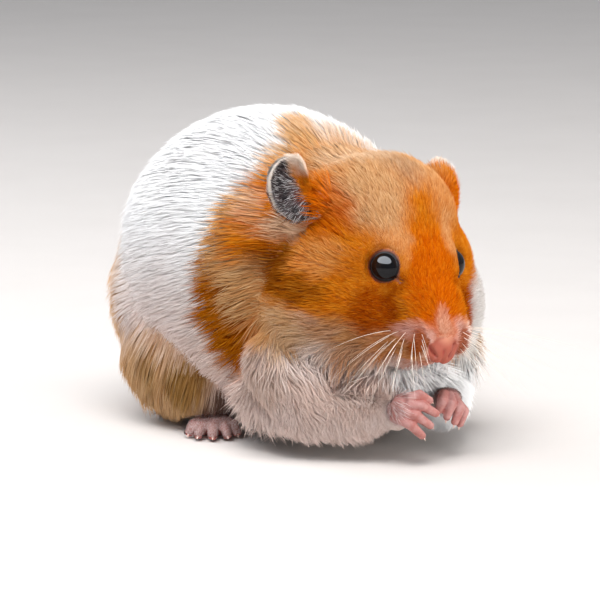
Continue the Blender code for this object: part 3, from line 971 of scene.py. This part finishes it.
# ---- the coat
# Fine hair of one length in each place, which lies along the body from the nose backwards and down the sides.
# Each tuft is a thin three-sided spike over the skin, leaning with its neighbours, and the tufts are shared
# out among a few layers.

COAT_LAYERS = 8
COAT_TUFTS = 150000
LIE_ROUNDS = 12  # rounds of smoothing that even out the lie of the coat
TUFT_PATCH = 0.003  # width of each tuft's own patch on the unwrap
SHEET = 0.55  # how far the tufts catch the light as one sheet of hair rather than each for itself
CALM_SHEET = 0.4  # added to it where the coat is sleek
INNER_EAR_COAT = 1.7 * MM
NEAR_EAR_COAT = 1.3 * MM
EAR_TUFT = 2.0 * MM  # added to the coat's length in front of each ear
PALE_GREY = (0.62, 0.60, 0.60)
PAW_HAIR = (0.58, 0.42, 0.40)


def sample(values, corners, shares):
    """Values of the skin's points, taken at places inside its triangles."""
    if values.ndim == 1:
        return (values[corners] * shares).sum(axis=1)
    return (values[corners] * shares[:, :, None]).sum(axis=1)


def unit(vectors):
    return vectors / np.maximum(lengths(vectors), 1e-12)[:, None]


def lie_flat(vectors, normals):
    """The vectors laid into the surface."""
    return unit(vectors - normals * (vectors * normals).sum(axis=1)[:, None])


def before_ears(points):
    """1 in front of each ear, where a tuft of hair leans back over its hollow, and 0 elsewhere."""
    across, backwards, above = (in_head(points) / MM).T
    away = lengths(np.column_stack((np.abs(across) - 14.0, backwards - 11.0, above - 12.0)))
    return np.exp(-((away / 4.5) ** 2))


def lie_of_coat(points, normals, edges):
    """The direction in which the coat lies at each point of the skin, along the skin."""
    places = in_head(points) / MM
    x, y, z = (points / MM).T
    one = np.ones(len(points))
    lie = np.tile((0.0, 1.0, -0.35), (len(points), 1))

    def comb(direction, share):
        """Combs the coat towards one direction, or one for each point, by a share."""
        lie[:] = blend(lie, np.array(direction), share[:, None])

    comb((0, 0.35, -1), smooth_step(y, 22, 40))  # the rump
    comb((0, 0.1, -1), smooth_step(-y, 6, 20) * smooth_step(-z, -30, -16))  # the chest
    from_nose = places - NOSE
    from_nose[:, 2] *= np.where(places[:, 2] < 0, 0.35, 1.0)
    from_nose[:, 1] += 6 * smooth_step(places[:, 1], 0, 14)
    comb(unit(from_nose), smooth_step(places[:, 1], 27, 16) * smooth_step(places[:, 2], -24, -14))
    comb((0, 0.3, -1), overhang(points))
    on_thigh = share_near(points, ("hindleg_right", "hindleg_left"), 0.5 * MM, 4 * MM)
    comb((0, 0.25, -1), on_thigh * smooth_step(-z, -30, -18))
    on_foreleg = smooth_step(gaps(points, foreleg_tree), 3.5 * MM, 1 * MM)
    comb(np.column_stack((-x * 0.02, -0.25 * one, -one)), on_foreleg)
    for side, name in SIDES:
        from_eye = points - np.array(eye_frame(side).translation)
        near = smooth_step(lengths(from_eye), 8 * MM, 4 * MM)
        lie += (lie_flat(unit(from_eye), normals) * 0.9) * near[:, None]
        toes = (side * sin(radians(38)), -cos(radians(38)), -0.1)
        comb(toes, share_near(points, ("hindfoot_" + name,), 0.5 * MM, 2 * MM))
        fingers = (-side * 0.35, -0.9, -0.3)
        comb(fingers, share_near(points, ("forepaw_" + name,), 0.5 * MM, 2.5 * MM))
        canal = middle("ear_" + name) + HEAD.to_3x3() @ Vector((-side * 3.0, -1.4, 1.0)) * MM
        comb(unit(points - np.array(canal)), on_ears * (points[:, 0] * side > 0))
    over_ear = np.column_stack((np.sign(points[:, 0]) * 0.4, one, 0.15 * one))
    comb(over_ear, before_ears(points) * (1 - on_ears))
    lie = lie_flat(lie, normals)
    for step in range(LIE_ROUNDS):
        lie = lie_flat(lie + neighbours_mean(lie, edges, len(points)), normals)
    return lie


def tuft_width(length):
    return 0.027 * length + 0.06 * MM


points, normals = points_of(skin.data), normals_of(skin.data)
skin.data.calc_loop_triangles()
corners = np.zeros(len(skin.data.loop_triangles) * 3, np.int32)
skin.data.loop_triangles.foreach_get("vertices", corners)
corners = corners.reshape(-1, 3)
edges = edges_of(skin.data)
lie = lie_of_coat(points, normals, edges)
length = coat_length(points)
near_ears = share_near(points, EARS, 0.5 * MM, 1.4 * MM)
length = blend(length, NEAR_EAR_COAT, near_ears)
length = blend(length, INNER_EAR_COAT, on_ears)
front_of_ear = before_ears(points) * np.where(points[:, 0] < 0, 1, 0.1)  # the left tuft is a slight one
front_of_ear *= 1 - on_ears
front_of_ear *= 1 - near_ears
length += EAR_TUFT * front_of_ear
length *= 1 - 0.5 * before_ears(points) * (points[:, 0] > 0)
by_floor = smooth_step(points[:, 2], 1.2 * MM, 0.3 * MM)
on_soles = on_paws * smooth_step(-normals[:, 2], 0.1, 0.5)
bare = np.maximum.reduce([on_nose, smooth_step(by_eyes, 0.84, 0.94), by_floor, on_soles])
width = tuft_width(length)
crowd = (1 - bare) / (length * width)
crowd *= 1 - 0.5 * on_paws
for tree in finger_trees:
    crowd *= 1 - smooth_step(gaps(points, tree), 1.0 * MM, 0.3 * MM)
crowd *= 1 - (0.6 + 0.4 * np.minimum(1, 1.5 * ear_rim)) * on_ears
crowd *= 1 - 0.55 * smooth_step(-normals[:, 2], 0.6, 0.95) * smooth_step(-points[:, 2], -8 * MM, -2 * MM)

# The tufts' roots are scattered over the skin's triangles, as thickly as the coat asks in each place.

random = np.random.default_rng(7)
sides = points[corners]
areas = lengths(np.cross(sides[:, 1] - sides[:, 0], sides[:, 2] - sides[:, 0])) / 2
wanted = np.cumsum(areas * crowd[corners].mean(axis=1))
at = (np.arange(COAT_TUFTS) + random.random(COAT_TUFTS)) / COAT_TUFTS * wanted[-1]
face = np.minimum(np.searchsorted(wanted, at), len(corners) - 1)
u, v = random.random((2, COAT_TUFTS))
folded = u + v > 1
u[folded], v[folded] = 1 - u[folded], 1 - v[folded]
shares = np.column_stack((1 - u - v, u, v))
corners = corners[face]
root = sample(points, corners, shares)
outward = unit(sample(normals, corners, shares))
along = lie_flat(sample(lie, corners, shares), outward)
long = sample(length, corners, shares)
ear_of = sample(on_ears, corners, shares)
fluff = sample(front_of_ear, corners, shares)
flesh_of = sample(np.maximum(on_paws, on_tail), corners, shares)

# Each tuft turns a little off the lie, and leans with the others of its lock, so that their tips gather.
SWIRL_SIZE = 5 * MM  # size of the patches that turn one way
SWIRL = radians(13)
STRAY = radians(7)
UNEVEN_SIZE = 7 * MM  # size of the patches that stand up a little more or less
LOCK = 14  # tufts to a lock
GATHER = 0.45  # how far the tips of a lock come together
LOCK_REACH = 0.6  # the furthest that a tip may lie from its lock's, as a share of the tuft's length
DROOP = 0.10  # how far a tuft's tip bends back, as a share of its length


def soft_noise(places, size, seed):
    """Smooth noise from -1 to 1, made of a few crossing waves of about the size."""
    waves = np.random.default_rng(seed)
    total = np.zeros(len(places))
    for i in range(9):
        direction = unit(waves.normal(size=(1, 3)))[0] * waves.uniform(0.6, 1.6)
        total += np.sin(places @ direction * 2 * pi / size + waves.uniform(0, 2 * pi))
    return total / 4.5


def turned(vectors, axes, angles):
    """Each vector turned about its axis, where the two are square to each other."""
    return vectors * np.cos(angles)[:, None] + np.cross(axes, vectors) * np.sin(angles)[:, None]


calm = smooth_step(root[:, 1], -8 * MM, 6 * MM)  # the coat of the back is sleek
swirl = SWIRL * soft_noise(root, SWIRL_SIZE, 3) + STRAY * random.normal(size=COAT_TUFTS)
swirl *= 1 - 0.8 * calm
swirl *= 1 + looseness(root)
along = turned(along, outward, swirl)
long = long * (1 + 0.16 * random.normal(size=COAT_TUFTS)).clip(0.55, 1.5)
wide = tuft_width(long) * (1 - 0.35 * ear_of) * random.uniform(0.75, 1.25, COAT_TUFTS)
uneven = 0.2 * random.normal(size=COAT_TUFTS) + 0.2 * soft_noise(root, UNEVEN_SIZE, 5)
uneven *= 1 - 0.7 * calm
rise = (coat_rise(root) + 0.22 * fluff + DROOP) * (1 + uneven)
lift = np.arcsin(rise.clip(0.12, 0.8))
leaning = along * np.cos(lift)[:, None] + outward * np.sin(lift)[:, None]
tip = root + leaning * long[:, None] - outward * (DROOP * long)[:, None]
lock_tree = search_tree(root[::LOCK])
lock = np.array([lock_tree.find(place)[1] for place in root]) * LOCK
gathering = GATHER * random.uniform(0.4, 1.0, COAT_TUFTS) * (1 - 0.9 * calm)
towards_lock = tip[lock] + leaning[lock] * (0.1 * long)[:, None]
near_enough = lengths(towards_lock - tip) < LOCK_REACH * long
tip = tip + (towards_lock - tip) * (gathering * near_enough)[:, None]
leaning = unit(leaning + unit(tip - root) * 0.6)


def curve_points(share):
    """Where each tuft's middle line is at a share of its length: it sets off as it leans, to its tip."""
    straight = root + (tip - root) * share
    off = root + leaning * (long * share)[:, None]
    return straight * share + off * (1 - share)


# No tuft crosses an eyeball or goes under the floor.
kept = np.ones(COAT_TUFTS, bool)
for side, _ in SIDES:
    turn = np.array(eye_frame(side))
    for share in (0.3, 0.65, 1.0):
        local = (curve_points(share) - turn[:3, 3]) @ turn[:3, :3]
        reach = lengths(local)
        kept &= ~((reach < EYE_RADIUS + 0.5 * MM) & (local[:, 2] > 0.42 * reach))

# A tuft is a base, a ring and a tip on a three-sided section that is flat towards the skin.
RING_SHARES = (0.0, 0.5)
RING_WIDTHS = (0.9, 0.9)
SECTION = ((-0.5, -0.1), (0.5, -0.1), (0.0, 0.34))
TUFT_POINTS = len(RING_SHARES) * len(SECTION) + 1
across = unit(np.cross(leaning, outward))
above = np.cross(across, leaning)
rings = []
for share, broad in zip(RING_SHARES, RING_WIDTHS):
    centre = curve_points(share)
    for sideways, upwards in SECTION:
        offset = across * (wide * broad * sideways)[:, None] + above * (wide * broad * upwards)[:, None]
        rings.append(centre + offset)
rings.append(tip)
tufts = np.stack(rings, axis=1)
tufts[:, :, 2] = np.maximum(tufts[:, :, 2], 0.05 * MM)
TUFT_FACES = [(0, 1, 2)]
TUFT_FACES += [(i, 3 + i, 3 + (i + 1) % 3, (i + 1) % 3) for i in range(3)]
TUFT_FACES += [(3 + i, 6, 3 + (i + 1) % 3) for i in range(3)]
ALONG = np.array((0.0, 0.0, 0.0, 0.5, 0.5, 0.5, 1.0))
TINT_SIZE = 2.2 * MM  # size of the patches that are paler or darker

# The skin's own unwrap, made on a thinner copy of it, gives each tuft the place of its patch.
chart = new_piece("chart", bmesh.new())
chart.data = skin.data.copy()
thin = chart.modifiers.new("thin", "DECIMATE")
thin.ratio = 0.06
settle(chart)
bpy.context.view_layer.objects.active = chart
chart.select_set(True)
bpy.ops.object.mode_set(mode="EDIT")
bpy.ops.mesh.select_all(action="SELECT")
bpy.ops.uv.smart_project(angle_limit=radians(66), island_margin=0.004)
bpy.ops.object.mode_set(mode="OBJECT")
chart_shape = bmesh.new()
chart_shape.from_mesh(chart.data)
bmesh.ops.triangulate(chart_shape, faces=chart_shape.faces)
chart_shape.faces.ensure_lookup_table()
chart_tree = BVHTree.FromBMesh(chart_shape)
layer = chart_shape.loops.layers.uv.active
chart_corners = np.array([[loop.vert.co for loop in face.loops] for face in chart_shape.faces])
chart_places = np.array([[loop[layer].uv for loop in face.loops] for face in chart_shape.faces])
found = [chart_tree.find_nearest(place) for place in root]
hit = np.array([place for place, *_ in found])
on_face = np.array([face for _, _, face, _ in found])
a, b, c = (chart_corners[on_face, i] for i in range(3))
whole = lengths(np.cross(b - a, c - a))
share_b = lengths(np.cross(hit - a, c - a)) / whole
share_c = lengths(np.cross(b - a, hit - a)) / whole
chart_shares = np.column_stack((1 - share_b - share_c, share_b, share_c))
patch = (chart_places[on_face] * chart_shares[:, :, None]).sum(axis=1)
chart_shape.free()
bpy.data.objects.remove(chart)

finish = Finish("coat")
place = finish.node("Attribute", {"attribute_name": "root"}, {}, 1)
along_share = finish.share("along")
tint = finish.share("tint")
colour = markings(finish, place)
ear_hair = finish.mix(finish.fade(tint, 0.45, 0.8), SLATE, PALE_GREY)
colour = finish.mix(finish.share("ear"), colour, ear_hair)
colour = finish.mix(finish.share("flesh"), colour, PAW_HAIR)
multiply = {"data_type": "RGBA", "blend_type": "MULTIPLY"}
darker = finish.node("Mix", multiply, {0: 1.0, 6: colour, 7: colour}, 2)
colour = finish.mix(finish.fade(tint, 0.6, 0.0) * 0.55, colour, darker)
colour = finish.mix(finish.fade(along_share, 0.7, 0.0) * 0.5, colour, darker)
paler = finish.node("Gamma", {}, {"Color": colour, "Gamma": 0.72})
colour = finish.mix(finish.fade(tint, 0.5, 1.0) * 0.7, colour, paler)
coat_finish = finish.surface({"Base Color": colour, "Roughness": 0.9, "Specular IOR Level": 0.0})


def coat_piece(name, chosen):
    """One layer of the coat: the chosen tufts as one mesh."""
    count = len(chosen)
    face_sizes = [len(face) for face in TUFT_FACES]
    template = np.concatenate(TUFT_FACES)
    mesh = bpy.data.meshes.new(name)
    mesh.vertices.add(count * TUFT_POINTS)
    mesh.vertices.foreach_set("co", tufts[chosen].astype(np.float32).ravel())
    mesh.loops.add(count * len(template))
    mesh.loops.foreach_set("vertex_index", (template + TUFT_POINTS * np.arange(count)[:, None]).ravel())
    starts = np.concatenate(([0], np.cumsum(face_sizes)[:-1]))
    mesh.polygons.add(count * len(face_sizes))
    mesh.polygons.foreach_set("loop_start", (starts + len(template) * np.arange(count)[:, None]).ravel())
    mesh.update(calc_edges=True)
    shade_smooth(mesh)
    own = normals_of(mesh).reshape(count, TUFT_POINTS, 3)
    sheet = (SHEET + CALM_SHEET * calm[chosen])[:, None, None]
    shaded = own * (1 - sheet) + outward[chosen][:, None, :] * sheet
    mesh.normals_split_custom_set_from_vertices(unit(shaded.reshape(-1, 3)))
    for share_name, values in (("root", root), ("tint", tint_of), ("ear", ear_of), ("flesh", flesh_of)):
        write_attribute(mesh, share_name, np.repeat(values[chosen], TUFT_POINTS, axis=0))
    write_attribute(mesh, "along", np.tile(ALONG, count))
    spread = np.column_stack(((0.0, 1.0, 0.5, 0.0, 1.0, 0.5, 0.5), ALONG)) * TUFT_PATCH
    places = patch[chosen][:, None, :] * (1 - TUFT_PATCH) + spread[None, :, :]
    unwrap = mesh.uv_layers.new(name="OFBake")
    corner_places = places[:, template, :]
    unwrap.data.foreach_set("uv", corner_places.astype(np.float32).ravel())
    piece = bpy.data.objects.new(name, mesh)
    bpy.context.scene.collection.objects.link(piece)
    mesh.materials.append(coat_finish)
    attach(piece, "root")


tint_of = 0.5 + 0.2 * random.normal(size=COAT_TUFTS) + 0.18 * soft_noise(root[lock], TINT_SIZE, 11)
tint_of = tint_of.clip(0, 1)
order = random.permutation(np.flatnonzero(kept))
for number in range(COAT_LAYERS):
    coat_piece(f"coat_{number + 1}", order[number::COAT_LAYERS])

# ---- the claws
# Short curved claws of pale horn. Each is a bent cone at the end of its finger or toe.

CLAW_SHARE = 0.62  # length of a claw, as a share of its solid
CLAW_BEND = 0.22  # how far its tip curls down, as a share of its length
CLAW_ROOT = 0.8  # radii of its root and tip, as shares of its solid's
CLAW_TIP = 0.12
PINK_HORN = (0.80, 0.50, 0.42)
PALE_HORN = (0.88, 0.68, 0.58)

finish = Finish("claw_horn")
place = finish.place()
streaks = finish.noise(place, 0.15 * MM, 3.0)
horn = finish.mix(finish.fade(streaks, 0.3, 0.7), PINK_HORN, PALE_HORN)
horn_relief = finish.node("Bump", {}, {"Strength": 0.2, "Distance": 0.03 * MM, "Height": streaks})
horn_finish = finish.surface({"Base Color": horn, "Roughness": streaks * 0.2 + 0.25, "Normal": horn_relief})
for limb_name, digits in (("foreclaw", 4), ("hindclaw", 5)):
    for _, name in SIDES:
        shape = bmesh.new()
        nodes = [f"{limb_name}_{name}_{number}" for number in range(1, digits + 1)]
        for node in nodes:
            nail, point, thickness = claw_ends(node)
            reach = (point - nail) * CLAW_SHARE
            if limb_name == "foreclaw":
                _, knuckle, tip = FINGERS[name][int(node[-1]) - 1]
                reach = (mm(*tip) - mm(*knuckle)).normalized() * reach.length
                nail = mm(*tip) + reach.normalized() * 0.45 * MM
            cone = bmesh.new()
            bmesh.ops.create_cone(
                cone, cap_ends=True, segments=10, depth=reach.length,
                radius1=CLAW_ROOT * thickness, radius2=CLAW_TIP * thickness,
            )
            long_edges = []
            for edge in cone.edges:
                first, second = edge.verts
                if abs(first.co.z - second.co.z) > 0.01 * MM:
                    long_edges.append(edge)
            bmesh.ops.subdivide_edges(cone, edges=long_edges, cuts=4)
            for vert in cone.verts:
                share = vert.co.z / reach.length + 0.5
                vert.co.y -= CLAW_BEND * reach.length * share**2
                vert.co.z += 0.5 * reach.length
            turn = reach.to_track_quat("Z", "Y").to_matrix().to_4x4()
            cone.transform(Matrix.Translation(nail - reach * 0.15) @ turn)
            bmesh.ops.recalc_face_normals(cone, faces=cone.faces)
            add_to(shape, cone)
        claws = new_piece(f"{limb_name}s_{name}", shape)
        shade_smooth(claws.data)
        claws.data.materials.append(horn_finish)
        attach(claws, "root")
        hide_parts(*nodes)

# ---- the whiskers
# Long stiff white bristles in rows on the pads beside the nose, thickest at the root, which point forwards
# and out and bend down a little. Each is a tapering curve turned into a mesh.

WHISKER_ROWS = 4
WHISKER_COLUMNS = 5
WHISKER_LENGTH = 27 * MM
WHISKER_RADIUS = 0.052 * MM
WHISKER_POINTS = 9
WHISKER_SAG = 0.12  # how far the tip bends down, as a share of its length
WHISKER_TAPER = 0.85
PALE_BRISTLE = (0.86, 0.72, 0.58)
WHITE_BRISTLE = (0.93, 0.86, 0.78)

skin_shape = bmesh.new()
skin_shape.from_mesh(skin.data)
skin_tree = BVHTree.FromBMesh(skin_shape)
skin_shape.free()


def whisker(curve, start, direction, length):
    """Adds one tapering bristle, which starts just under the skin and bends down towards its tip."""
    line = curve.splines.new("POLY")
    line.points.add(WHISKER_POINTS - 1)
    for i, point in enumerate(line.points):
        share = i / (WHISKER_POINTS - 1)
        place = start + direction * (length * share)
        place.z -= WHISKER_SAG * length * share**2
        point.co = (*place, 1)
        point.radius = WHISKER_RADIUS * (1 - WHISKER_TAPER * share)


finish = Finish("whisker")
place = finish.place()
bristle = finish.mix(finish.noise(place, 4 * MM), PALE_BRISTLE, WHITE_BRISTLE)
whisker_finish = finish.surface({"Base Color": bristle, "Roughness": 0.35})
random = np.random.default_rng(21)
curve = bpy.data.curves.new("whiskers", "CURVE")
for side, _ in SIDES:
    for row in range(WHISKER_ROWS):
        for column in range(WHISKER_COLUMNS):
            back, down = column / (WHISKER_COLUMNS - 1), row / (WHISKER_ROWS - 1)
            pad = mm(side * (5.2 + 4.6 * back), -9.0 + 4.4 * back + 0.8 * down, -12.0 - 3.6 * down)
            skin_place, outwards, _, _ = skin_tree.find_nearest(HEAD @ pad)
            out = 0.35 + 0.55 * back + random.uniform(-0.1, 0.1)
            forwards = -0.75 + 0.5 * back + random.uniform(-0.08, 0.08)
            upwards = -0.02 - 0.5 * down - 0.25 * (1 - back) + random.uniform(-0.06, 0.06)
            direction = HEAD.to_3x3() @ Vector((side * out, forwards, upwards)).normalized()
            length = WHISKER_LENGTH * (0.45 + 0.55 * back)
            length *= random.uniform(0.85, 1.08) * (1 - 0.3 * down)
            whisker(curve, skin_place - outwards * 0.3 * MM, direction, length)
curve.dimensions = "3D"
curve.bevel_depth = 1
curve.bevel_resolution = 0
curve.use_fill_caps = True
tube = bpy.data.objects.new("tube", curve)
bpy.context.scene.collection.objects.link(tube)
bpy.context.view_layer.update()
mesh = bpy.data.meshes.new_from_object(tube.evaluated_get(bpy.context.evaluated_depsgraph_get()))
bpy.data.objects.remove(tube)
shape = bmesh.new()
shape.from_mesh(mesh)
bmesh.ops.remove_doubles(shape, verts=shape.verts, dist=0.001 * MM)
bmesh.ops.recalc_face_normals(shape, faces=shape.faces)
whiskers = new_piece("whiskers", shape)
whiskers.data.materials.append(whisker_finish)
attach(whiskers, "root")

# ---- the floor and the light
# A plain pale floor, a broad soft light over the animal's right shoulder, a weaker one in front, a faint one
# behind, a lamp that only glossy surfaces show, which gives the eyes their glint, and a pale surround.

FLOOR_GREY = (0.62, 0.58, 0.55)
PALE_FLOOR = (0.66, 0.62, 0.59)
SURROUND = (0.88, 0.92, 0.98)
SURROUND_STRENGTH = 0.41
LIGHTS = {  # azimuth and elevation in degrees, distance, width, height, power, colour, where it never shows
    "window": (-52, 68, 0.7, 0.60, 0.50, 6.0, (1.0, 0.99, 0.98), "visible_glossy"),
    "fill": (34, 9, 0.9, 0.6, 0.3, 6.6, (1.0, 0.97, 0.94), "visible_glossy"),
    "rim": (-160, 40, 0.8, 0.5, 0.4, 2.4, (0.95, 0.97, 1.0), None),
    "glint": (-66, 57, 0.7, 1.45, 0.72, 52.0, (0.86, 0.92, 1.0), "visible_diffuse"),
}

shape = bmesh.new()
bmesh.ops.create_grid(shape, x_segments=1, y_segments=1, size=3)
floor = new_piece("floor", shape)
finish = Finish("floor")
place = finish.place()
dust = finish.mix(finish.noise(place, 30 * MM), FLOOR_GREY, PALE_FLOOR)
floor.data.materials.append(finish.surface({"Base Color": dust, "Roughness": 0.7}))

for name, (azimuth, elevation, distance, width, height, power, colour, unseen) in LIGHTS.items():
    azimuth, elevation = radians(azimuth), radians(elevation)
    level = cos(elevation)
    towards = Vector((sin(azimuth) * level, -cos(azimuth) * level, sin(elevation)))
    lamp = bpy.data.lights.new(name, "AREA")
    lamp.shape = "ELLIPSE"
    lamp.size = width
    lamp.size_y = height
    lamp.energy = power
    lamp.color = colour
    light = bpy.data.objects.new(name, lamp)
    light.location = between_eyes + towards * distance
    light.rotation_euler = towards.to_track_quat("Z", "Y").to_euler()
    bpy.context.scene.collection.objects.link(light)
    if unseen:
        setattr(light, unseen, False)
world = bpy.data.worlds.new("surround")
world.use_nodes = True
background = world.node_tree.nodes["Background"]
background.inputs["Color"].default_value = (*SURROUND, 1)
background.inputs["Strength"].default_value = SURROUND_STRENGTH
bpy.context.scene.world = world
bpy.context.scene.view_settings.view_transform = "Standard"
